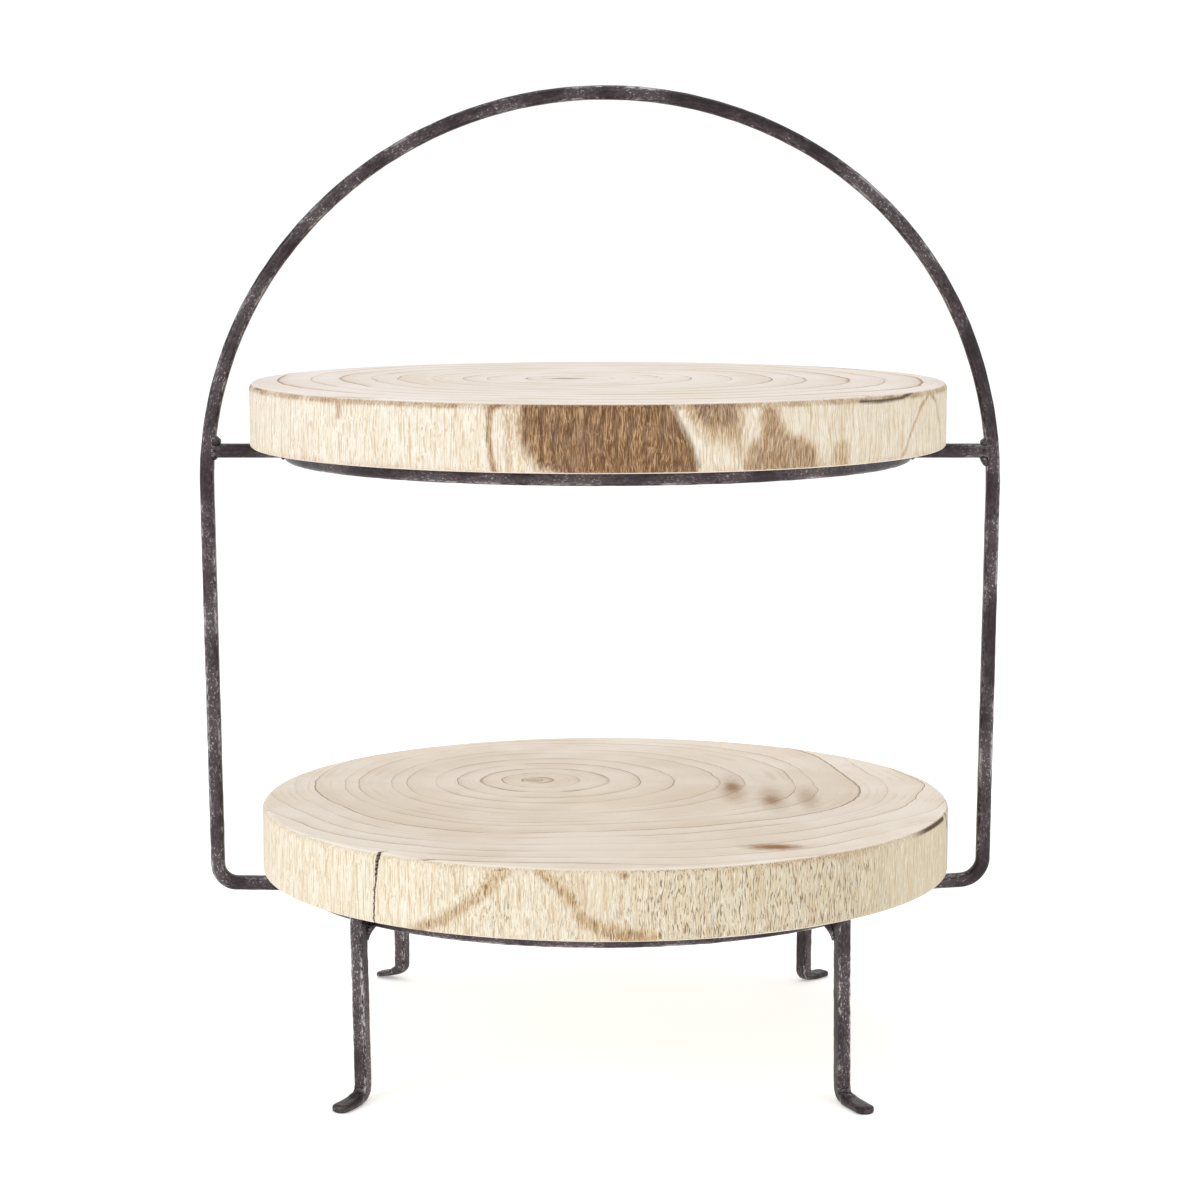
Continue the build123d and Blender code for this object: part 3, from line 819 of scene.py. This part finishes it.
def board_material(name, sawn, rim_painted_lit_left, rim_painted_shade_right, pith, lopsided, spacing, seed, spots, dashes):
    """Sawn face above and below, peeled rim between them."""
    material, tree, shader = new_material(name)
    place = object_place(tree)
    normal = tree.nodes.new("ShaderNodeNewGeometry").outputs["Normal"]
    facing = add_node(tree, "ShaderNodeSeparateXYZ", i0=normal)
    on_face = between(tree, maths(tree, "ABSOLUTE", facing.outputs[2]), 0.55, 0.85)

    # sawn face: growth rings and stains
    grown = add_node(tree, "ShaderNodeGroup", {"node_tree": growth_rings}, Place=place, Pith=pith,
                     Lopsided=lopsided, Spacing=spacing, Seed=seed).outputs
    cloud = between(tree, speckle(tree, place, 22, 4, 0.55), 0.35, 0.65)
    face = blend(tree, cloud, sawn["pale"], sawn["warm"])
    for part, strength, tone in (("Shade", 0.55, "shade"), ("Fine", 0.38, "shade"), ("Line", 0.80, "line")):
        face = blend(tree, times(tree, grown[part], strength), face, sawn[tone])
    pores = speckle(tree, place, 1500, 2, 0.6)
    face = blend(tree, between(tree, pores, 0.58, 0.72, 0.0, 0.16), face, sawn["line"])
    for centre, half_size, strength, ragged in spots:
        spot = add_node(tree, "ShaderNodeGroup", {"node_tree": brown_spot}, Place=place, Centre=centre,
                        Half_size=half_size, Ragged=ragged)
        face = blend(tree, times(tree, spot.outputs[0], strength), face, sawn["stain"])

    # peeled rim: upright fibres, drifting a little from side to side, on a colour with painted shade that
    # darkens from the stand's left to its right
    drift = speckle(tree, place, 60)
    drifted = vector_maths(tree, "MULTIPLY_ADD", drift, (4 * mm, 4 * mm, 0.0), place)
    fibres = speckle(tree, stretched(tree, drifted, 1, 1, 0.085), 2300, 3, 0.62)
    coarse = speckle(tree, stretched(tree, drifted, 1, 1, 0.08), 480, 3, 0.55)
    threads = speckle(tree, stretched(tree, drifted, 1, 1, 0.03, shift=(2, 7, 4)), 1500)
    from_middle = add_node(tree, "ShaderNodeSeparateXYZ", i0=place).outputs[0]
    # painted shade: the rim is lighter at the stand's left and darker at its right, as if lit from the left
    # front
    rim = blend(tree, between(tree, from_middle, -130 * mm, 130 * mm), rim_painted_lit_left, rim_painted_shade_right)
    for pattern, low, high, strength, tone in (
            (coarse, 0.42, 0.66, 0.42, colour(216, 197, 163)),
            (fibres, 0.52, 0.66, 0.60, colour(202, 180, 144)),
            (fibres, 0.46, 0.34, 0.60, colour(246, 241, 230)),
            (threads, 0.54, 0.61, 0.55, colour(190, 158, 112))):
        rim = blend(tree, between(tree, pattern, low, high, 0.0, strength), rim, tone)

    # painted marks: tan where a stain is thin, brown where it is strong, with ticks in the fibres, whose dark
    # colour is partly real and partly painted shade in their sunken grooves
    stain, dark, dash = (stored_on_mesh(tree, mark) for mark in ("stain", "dark", "dash"))
    grain = between(tree, fibres, 0.36, 0.62)
    brown = blend(tree, grain, colour(172, 134, 90), colour(108, 72, 40))
    cloudy = between(tree, speckle(tree, place, 95, 4, 0.6), 0.50, 0.68, 0.0, 0.5)
    brown = blend(tree, cloudy, brown, colour(126, 92, 72))
    tan_wood = blend(tree, grain, colour(204, 168, 108), colour(158, 114, 60))
    stained = blend(tree, between(tree, stain, 0.55, 0.85), tan_wood, brown)
    frayed = times(tree, minus(tree, fibres, 0.5), between(tree, stain, 0.02, 0.25))
    rim = blend(tree, plus(tree, stain, frayed, clamp=True), rim, stained)
    ticks = speckle(tree, stretched(tree, drifted, 1, 1, 0.11, shift=(5, 3, 1)), 2100)
    # partly painted shade: the ticks are darkened where the bump below sinks them
    tick_and_groove_shade = times(tree, between(tree, ticks, 0.545, 0.64), dash, dashes)
    rim = blend(tree, tick_and_groove_shade, rim, colour(118, 94, 70))
    # the dark mark holds the rim's dark lines and bark, and painted shade down the crack
    rim = blend(tree, dark, rim, colour(70, 45, 27))

    tick_relief = times(tree, ticks, dash, -1.6)
    rim_height = plus(tree, plus(tree, fibres, tick_relief), times(tree, coarse, 0.8))
    face_height = times(tree, plus(tree, pores, grown["Line"]), -0.12)
    height = plus(tree, times(tree, rim_height, minus(tree, 1.0, on_face)), times(tree, face_height, on_face))
    set_inputs(tree, shader, Base_Color=blend(tree, on_face, rim, face), Specular_IOR_Level=0.28,
               Roughness=plus(tree, 0.62, times(tree, fibres, 0.22)),
               Normal=bumped(tree, height, 0.7, 0.4 * mm))
    return material


def paint_upper(u, z, thick):
    """Marks on the upper rim. u is mm round the rim from the front, z is mm above the underside."""
    wobble_u = u + 1.3 * ripple(u, z, 5, 16, 1.0) + 0.5 * ripple(u, z, 1.6, 8, 2.0)
    wobble_z = z + 1.6 * ripple(u, z, 4, 30, 3.0)
    heart = in_patch(wobble_u, wobble_z, [(-33, 30), (-33, 26), (-32, 14), (-29, 6), (-24, 1.5), (-8, -3),
                                          (41.5, -3), (38, 9), (34, 18), (29, 26.5), (28, 30)])
    heart_edge = 1.4 + 3.2 * (1 - smooth(u, -24, -6))
    second = in_patch(wobble_u, wobble_z, [(36, 30), (58, 30), (57.5, 9), (51, 13), (44, 15), (38, 22)])
    tongue = in_patch(wobble_u, wobble_z, [(67, 25.5), (72, 27), (76, 24), (79, 16), (88, 13), (95, 9),
                                           (97, -3), (58, -3), (60, 10), (66, 14)])
    small = in_patch(wobble_u, wobble_z, [(101, -2), (103, 9.5), (108, 12), (112, 8), (113, -2)])
    lip = 0.5 + 0.5 * ripple(u, 0 * z, 11, 1, 8.0) + 0.3 * ripple(u, 0 * z, 3, 1, 9.0)
    foot = 0.4 + 0.6 * ripple(u, 0 * z, 16, 1, 18.0)
    back = ripple(u, z, 38, 46, 21.0) + 0.35 * ripple(u, z, 9, 26, 22.0)
    stain = strongest(
        0.97 * smooth(heart, -0.8 * heart_edge, 1.1 * heart_edge),
        0.8 * smooth(second, -5.0, 3.0) * (0.55 + 0.45 * smooth(z, 8, 22)),
        0.74 * smooth(tongue, -2.0, 3.0),
        0.55 * smooth(small, -1.5, 2.5),
        # stripe left of the heart, the halo beside it, a drip and a vee farther round
        stroke(wobble_u, z, 0.78, 2.6, 0.4, [(-36, 28), (-42, 25.5), (-43.5, 15), (-42.5, 7), (-41, 1)]),
        stroke(wobble_u, z, 0.34, 4.0, 0.5, [(-36, 27), (-35, 2)]),
        stroke(wobble_u, z, 0.55, 2.2, 0.4, [(-126, 26.6), (-114, 25.6), (-104, 26.6)],
               [(-115, 26), (-115.5, 20)]),
        stroke(wobble_u, z, 0.62, 1.6, 0.2, [(176, 26.5), (164, 19.7), (154, 8.7), (148, 1)],
               [(176, 26.5), (186, 22), (193, 12), (196, 2)]),
        0.8 * smooth(z, thick - 3.6, thick - 2.0) * np.clip(lip, 0.3, 1),
        0.45 * smooth(z, 3.2, 0.8) * np.clip(foot, 0, 1),
        # the back of the trunk, beyond the front's marks, has its own stains
        0.8 * smooth(back, 0.22, 0.5) * smooth(np.abs(u), 215, 235),
    )
    grain_line = np.sin(wobble_u * 1.05 + 0.9 * np.sin(z * 0.16) + 1.4 * ripple(u, z, 5, 13, 6.0))
    knot = np.hypot(u, (z - 8) * 1.1)
    swirl = np.sin(knot * 2.4 + 1.6 * ripple(u, z, 3, 3, 7.0)) * smooth(knot, 6.5, 1.0)
    dark = strongest(
        0.26 * smooth(z, thick - 2.8, thick - 2.1) * np.clip(lip, 0.1, 1),
        0.52 * smooth(grain_line, 0.5, 0.98) * smooth(heart, 0, 2),
        0.34 * np.clip(swirl, 0, 1),
        # the heart's right border, a left-over strip of bark, a notch and the second patch's edge
        stroke(wobble_u, z, 0.55, 1.5, 0.2, [(29.5, 26.5), (34, 18), (37.5, 10), (40.5, 2.5)]),
        stroke(u + 0.6 * ripple(u, z, 3, 3, 4.0), z, 0.9, 1.1, 0.35,
               [(118, 25.6), (130, 25.2), (146, 25.6), (155, 27.0), (160, 28)]),
        stroke(u, z, 0.7, 1.0, 0.3, [(-196, 26.8), (-184, 27.2)]),
        stroke(wobble_u, z, 0.16, 1.0, 0.2, [(57, 17.5), (57.5, 1.6)]),
    )
    return stain, dark, 0.25 + 0.75 * smooth(stain, 0.1, 0.5)


def paint_lower(u, z, thick):
    """Marks on the lower rim: two slanting bands, dark lines at the right and grey ticks."""
    wobble_u = u + 1.2 * ripple(u, z, 5, 14, 31.0) + 1.5 * ripple(u, z, 1.7, 4, 32.0)
    left_width = 2.2 + 1.6 * smooth(z, 22, 28)
    lip = 0.5 + 0.5 * ripple(u, 0 * z, 10, 1, 38.0) + 0.3 * ripple(u, 0 * z, 3, 1, 39.0)
    right = smooth(u, 30, 85) * (1 - smooth(u, 112, 140))
    back = ripple(u, z, 34, 40, 41.0) + 0.35 * ripple(u, z, 9, 20, 42.0)
    stain = strongest(
        stroke(wobble_u, z, 0.54, left_width + 2.2, 0.4,
               [(-42, 28), (-48, 21), (-53, 16.5), (-63, 9), (-76, 2.5), (-82, 0)]),
        stroke(wobble_u, z, 0.60, 3.6 + 2.0 * smooth(u, -10, 4), 0.4,
               [(-27, 28), (-21, 25), (-16, 19.5), (-12.5, 14), (-8, 7.5), (1, 4.6), (8, 2.2), (17, 1.2)]),
        oval(u, z, 0.7, (9, 2.6), (8.5, 3.2), 1.3, 0.4),
        oval(u, z, 0.8, (7.5, 27.2), (1.8, 1.6), 1.4, 0.3),
        oval(u, z, 0.18, (-14, 25), (6.5, 5), 1.3, 0.3),
        (0.14 + 0.42 * right) * smooth(z, thick - 3.8, thick - 2.2) * np.clip(lip, 0, 1),
        stroke(u + 0.5 * ripple(u, z, 2, 5, 35.0), z, 0.16, 1.4, 0.2, [(-114, 28), (-114.5, 15), (-116, 1)]),
        0.7 * smooth(back, 0.30, 0.55) * smooth(np.abs(u), 215, 235),
    )
    rim_line = stroke(u + 0.6 * ripple(u, z, 3, 3, 34.0), z, 0.95, 1.3, 0.5,
                      [(156, 28.0), (176, 28.2), (198, 28.0)])
    side_line = stroke(wobble_u * 0.5 + u * 0.5, z, 0.75, 1.5, 0.5, [(204, 29), (212, 20), (216, 1)])
    dash = strongest(
        0.12 + 0.88 * smooth(u, -8, 22) * (1 - smooth(u, 105, 150)),
        0.42 * smooth(u, -92, -70) * (1 - smooth(u, -12, 0)),
        oval(u, z, 0.75, (-44, 11), (9, 9), 1.3, 0.4),
        0.95 * smooth(stain, 0.15, 0.45),
    )
    return stain, strongest(rim_line * smooth(u, 150, 172), side_line), dash


crack_line = [(28.9, 0.0, 1.9), (24.0, -0.7, 1.5), (20.5, -1.1, 0.85), (17.5, -1.25, 0.6),
              (14.5, -1.9, 0.72), (10.0, -2.2, 0.62), (0.0, -2.6, 0.55)]   # height, drift, width in mm
crack_angle = -37.7             # degrees from the front, to the left
crack_depth = 24.0 * mm
crack_reach = 7.0 * mm          # how far it shows on the sawn face
crack_drop = 9.0 * mm           # how far it drops from that face
crack_columns = np.arange(-5.0 * mm, 3.0 * mm, 0.12 * mm)
crack_close_middle = -1.0 * mm
crack_clear = 4.2 * mm          # ordinary columns stay this far from the middle of the close ones
hair = 0.01 * mm                # tells the sawn faces from the rim
wander, edge_wander, flute_depth = 0.7 * mm, 0.5 * mm, 0.10 * mm
sawn_colours = {
    "upper": {"pale": colour(233, 225, 218), "warm": colour(228, 217, 205), "shade": colour(207, 186, 162),
              "line": colour(140, 106, 78), "stain": colour(138, 103, 70)},
    # painted light: the lower board's sawn face is coloured paler than the upper's, to make up for the shade
    # the upper board casts on it
    "lower": {"pale": colour(245, 238, 227), "warm": colour(238, 227, 212), "shade": colour(216, 196, 170),
              "line": colour(146, 114, 86), "stain": colour(150, 104, 46)},
}
eye = tuple(Vector((-15.0, 11.7, 296.1)) * mm)
plug_low, plug_high = corners_of("pith_plug")
pith = (plug_low + plug_high) / 2


def stain_at(x, y, half_x, half_y, strength, ragged):
    """A stain on the lower board's sawn face, in mm."""
    return (x * mm, y * mm, pith.z), (half_x * mm, half_y * mm, 1.0), strength, ragged


# For both boards, the two colours after the sawn face's are the rim's colour with painted light at the
# stand's left and painted shade at its right; the lower rim's shade is the stronger.
upper_wood = board_material(
    "upper_wood", sawn_colours["upper"], colour(233, 226, 213), colour(225, 216, 198),
    eye, 0.10, 15.0 * mm, 3.3,
    [(eye, (14.0 * mm, 6.0 * mm, 1.0), 0.55, 0.9), (eye, (6.0 * mm, 3.0 * mm, 1.0), 0.8, 0.6)], 0.45,
)
lower_wood = board_material(
    "lower_wood", sawn_colours["lower"], colour(236, 228, 209), colour(208, 198, 174),
    tuple(pith), 0.17, 12.5 * mm, 7.7,
    [stain_at(60.0, 17.0, 8.0, 40.0, 0.42, 0.6), stain_at(60.0, 21.5, 4.5, 15.0, 0.70, 0.7),
     stain_at(76.5, -6.0, 8.0, 36.0, 0.40, 0.6), stain_at(76.2, -9.0, 4.5, 13.0, 0.58, 0.7),
     stain_at(92.5, -4.0, 6.5, 34.0, 0.38, 0.6), stain_at(71.5, -109.1, 15.0, 7.5, 0.95, 0.6)], 0.85,
)

for tier, paint, wood, cracked, seed in (("upper", paint_upper, upper_wood, False, 11.0),
                                         ("lower", paint_lower, lower_wood, True, 12.0)):
    low, high = corners_of(f"{tier}_board")
    centre = (low + high) / 2
    rim_radius = (high.x - low.x) / 2
    thick = high.z - low.z

    # columns around the rim, packed close where the crack is
    angles = np.arange(0, 2 * pi, column_gap / rim_radius)
    if cracked:
        at_crack = radians(crack_angle)
        close = at_crack + crack_columns / rim_radius
        from_crack = (angles - at_crack + pi) % (2 * pi) - pi
        far = np.abs(from_crack - crack_close_middle / rim_radius) > crack_clear / rim_radius
        angles = np.sort(np.concatenate([angles[far], close % (2 * pi)]))
    # rows from the underside, round the lower edge, up the rim, round the upper edge and in
    rows = [(inset * mm, 0.0) for inset in reversed(face_insets)]
    for t in np.linspace(pi / 2, 0, 5):
        rows.append((bottom_round * (1 - cos(t)), bottom_round * (1 - sin(t))))
    for height in np.arange(bottom_round + row_gap, thick - top_round, row_gap):
        rows.append((0.0, float(height)))
    for t in np.linspace(0, pi / 2, 7):
        rows.append((top_round * (1 - cos(t)), thick - top_round * (1 - sin(t))))
    rows += [(inset * mm, thick) for inset in face_insets]
    columns = len(angles)
    inset, height = (np.repeat([row[k] for row in rows], columns) for k in (0, 1))
    angle = np.tile(angles, len(rows))
    u = ((angle + pi) % (2 * pi) - pi) * rim_radius / mm
    z = height / mm

    # the trunk isn't quite round, and the sanded edges wander a little, always inside the round
    on_rim = smooth(inset, 6 * mm, 0)
    shrink = 0.35 + 0.35 * ripple(u, 0 * z, 70, 1, seed) + 0.12 * ripple(u, z, 14, 25, seed + 1)
    edge_wear = np.clip(0.4 + 0.6 * ripple(u, 0 * z, 22, 1, seed + 2), 0, 1)
    near_top = smooth(height, thick - 3.2 * mm, thick - 0.6 * mm)
    fluting = 0.5 + 0.5 * ripple(u, z, 2.6, 60, seed + 3)
    inset = inset + on_rim * (np.clip(shrink, 0, 1) * wander + edge_wear * near_top * edge_wander
                              + fluting * flute_depth)
    if cracked:
        crack_heights, drifts, widths = (np.array(column)[::-1] for column in zip(*crack_line))
        crack_u = at_crack * rim_radius / mm + np.interp(z, crack_heights, drifts)
        crack_u = crack_u + 0.12 * np.sin(z * 2.1) + 0.08 * np.sin(z * 5.3)
        is_top = height > thick - hair
        on_top = np.clip(1 - inset / crack_reach, 0, 1) * is_top
        half = np.interp(z, crack_heights, widths) / 2
        half = np.where(is_top, half * on_top, half)
        gape = np.clip(1 - np.abs(u - crack_u) / np.maximum(half, 1e-6), 0, 1)
        walls = np.minimum(1, gape * 5.0)
        side_part = ~is_top & (height > hair)
        inset = inset + np.where(side_part, walls * crack_depth, 0)
        height = height - np.where(is_top, walls * crack_drop * on_top, 0)

    radius = rim_radius - inset
    direction = angle - pi / 2
    points = np.stack([centre.x + radius * np.cos(direction), centre.y + radius * np.sin(direction),
                       low.z + height], axis=1)
    vertices = points.tolist() + [[centre.x, centre.y, low.z], [centre.x, centre.y, high.z]]
    faces = []
    last = (len(rows) - 1) * columns
    for k in range(columns):
        after = (k + 1) % columns
        for first in range(0, last, columns):
            faces.append((first + k, first + after, first + columns + after, first + columns + k))
        faces.append((after, k, len(vertices) - 2))
        faces.append((last + k, last + after, len(vertices) - 1))
    mesh = bpy.data.meshes.new(f"{tier}_slice")
    mesh.from_pydata(vertices, [], faces)
    stain, dark, dash = paint(u, z, thick / mm)
    if cracked:
        from_middle = np.abs(u - crack_u)
        lip_gape = np.clip(1 - from_middle / (half + 0.14), 0, 1)
        # painted shade: the crack's walls, and the part of the sawn face that drops into it, are coloured
        # dark through the dark mark
        crack_painted_shade = np.where(side_part, smooth(lip_gape, 0.0, 0.03), 0)
        crack_painted_shade = crack_painted_shade + np.where(height < thick - 0.3 * mm, on_top, 0)
        dark = np.maximum(dark, 0.92 * np.clip(crack_painted_shade, 0, 1))
        # painted highlight: the stain is paled in a strip along both lips of the crack
        stain = stain * (1 - 0.5 * smooth(np.abs(from_middle - half - 0.5), 0.6, 0.1))
    for name, values in (("stain", stain), ("dark", dark), ("dash", dash)):
        layer = mesh.attributes.new(name, "FLOAT", "POINT")
        layer.data.foreach_set("value", np.append(values, [0.0, 0.0]).astype(np.float32))
    mesh.materials.append(wood)
    face_outwards(mesh)
    claim(add_piece(f"{tier}_slice", mesh), f"{tier}_board_wood", f"{tier}_board")


# ---- pith plug ----------------------------------------------------------------------------------
# The soft heart of the lower slice is bored out and filled with a glued dowel, sanded flush. A thin
# dark glue line shows round it.

plug_sides = 48
plug_radius = (plug_high.x - plug_low.x) / 2
plug_profile = [(0.0, 0.06), (2.0, 0.06), (3.4, 0.055), (3.9, 0.04), (4.15, -0.15)]    # radius, rise in mm
plug_material, tree, shader = new_material("plug_wood")
place = object_place(tree)
away = vector_maths(tree, "SUBTRACT", place, tuple(pith))
out = vector_maths(tree, "LENGTH", vector_maths(tree, "MULTIPLY", away, (1, 1, 0)))
grain = speckle(tree, place, 900, 3)
glue = plus(tree, out, times(tree, minus(tree, grain, 0.5), 0.4 * mm))
wood = blend(tree, between(tree, grain, 0.4, 0.65, 0.0, 0.5), colour(214, 203, 188), colour(182, 165, 144))
wood = blend(tree, between(tree, glue, plug_radius - 0.75 * mm, plug_radius - 0.3 * mm, 0.0, 0.75),
             wood, colour(120, 104, 88))
wood = blend(tree, between(tree, out, 1.3 * mm, 0.5 * mm, 0.0, 0.45), wood, colour(128, 108, 86))
set_inputs(tree, shader, Base_Color=wood, Roughness=between(tree, grain, 0.3, 0.7, 0.62, 0.8),
           Normal=bumped(tree, grain, 0.3, 0.15 * mm))

plug = bmesh.new()
outline = [(radius, plug_high.z + rise * mm) for radius, rise in plug_profile]
outline += [(radius, plug_low.z - rise * mm) for radius, rise in reversed(plug_profile)]
loops = []
for radius, z in outline:
    ways = [2 * pi * k / plug_sides for k in range(plug_sides if radius else 1)]
    loops.append([plug.verts.new((pith.x + radius * mm * cos(way), pith.y + radius * mm * sin(way), z))
                  for way in ways])
for upper_loop, lower_loop in zip(loops, loops[1:]):
    for k in range(plug_sides):
        after = (k + 1) % plug_sides
        corners = [upper_loop[k % len(upper_loop)], upper_loop[after % len(upper_loop)],
                   lower_loop[after % len(lower_loop)], lower_loop[k % len(lower_loop)]]
        plug.faces.new(list(dict.fromkeys(corners)))
plug_mesh = bpy.data.meshes.new("heart_plug")
plug.to_mesh(plug_mesh)
plug.free()
plug_mesh.materials.append(plug_material)
face_outwards(plug_mesh)
claim(add_piece("heart_plug", plug_mesh), "plug_wood", "pith_plug")


# ---- studio -------------------------------------------------------------------------------------
# A white floor and backdrop, with soft light from all round and the brighter side at the left front.
# The floor is lit a little by itself, and it is clear from below so that the underside can be seen.

scene = bpy.context.scene
scene.view_settings.view_transform = "Standard"
floor_half = 6.0
floor_glow = 0.32
backdrop_light, backdrop_seen = 0.82, 1.05      # strength for lighting, and as the camera sees it
corners = [(x * floor_half, y * floor_half, 0) for x, y in ((-1, -1), (1, -1), (1, 1), (-1, 1))]
floor_mesh = bpy.data.meshes.new("studio_floor")
floor_mesh.from_pydata(corners, [], [(0, 1, 2, 3)])
floor = add_piece("studio_floor", floor_mesh)
floor_paint, tree, shader = new_material("studio_white")
underneath = tree.nodes.new("ShaderNodeNewGeometry").outputs["Backfacing"]
white = blend(tree, speckle(tree, object_place(tree), 3), (0.93, 0.93, 0.93, 1), (0.95, 0.95, 0.95, 1))
set_inputs(tree, shader, Base_Color=white, Alpha=minus(tree, 1.0, underneath), Roughness=0.9,
           Specular_IOR_Level=0.1, Emission_Color=(1, 1, 1, 1), Emission_Strength=floor_glow)
floor_mesh.materials.append(floor_paint)

world = bpy.data.worlds.new("studio_world")
scene.world = world
world.use_nodes = True
tree = world.node_tree
seen = tree.nodes.new("ShaderNodeLightPath").outputs["Is Camera Ray"]
set_inputs(tree, tree.nodes["Background"], Color=(1, 1, 1, 1),
           Strength=between(tree, seen, 0, 1, backdrop_light, backdrop_seen))
stand_middle = Vector((0, 0, 0.2))


def soft_light(name, place, size, power):
    """A round lamp turned towards the middle of the stand."""
    data = bpy.data.lights.new(name, "AREA")
    data.shape = "DISK"
    data.size = size
    data.energy = power
    light = add_piece(name, data)
    light.location = place
    light.rotation_euler = (stand_middle - Vector(place)).to_track_quat("-Z", "Y").to_euler()


soft_light("key", (-1.3, -1.4, 0.9), 1.0, 9)
soft_light("fill", (1.5, -1.2, 0.6), 1.2, 3)
soft_light("top", (0.1, 0.2, 1.9), 1.4, 7)

camera_data = bpy.data.cameras.new("camera")
camera_data.sensor_width = 36
camera_data.lens = 93.41
camera = add_piece("camera", camera_data)
camera.location = (0, -1.36712, 0.37756)
camera.rotation_euler = (radians(90 - 7.45), 0, 0)
scene.camera = camera
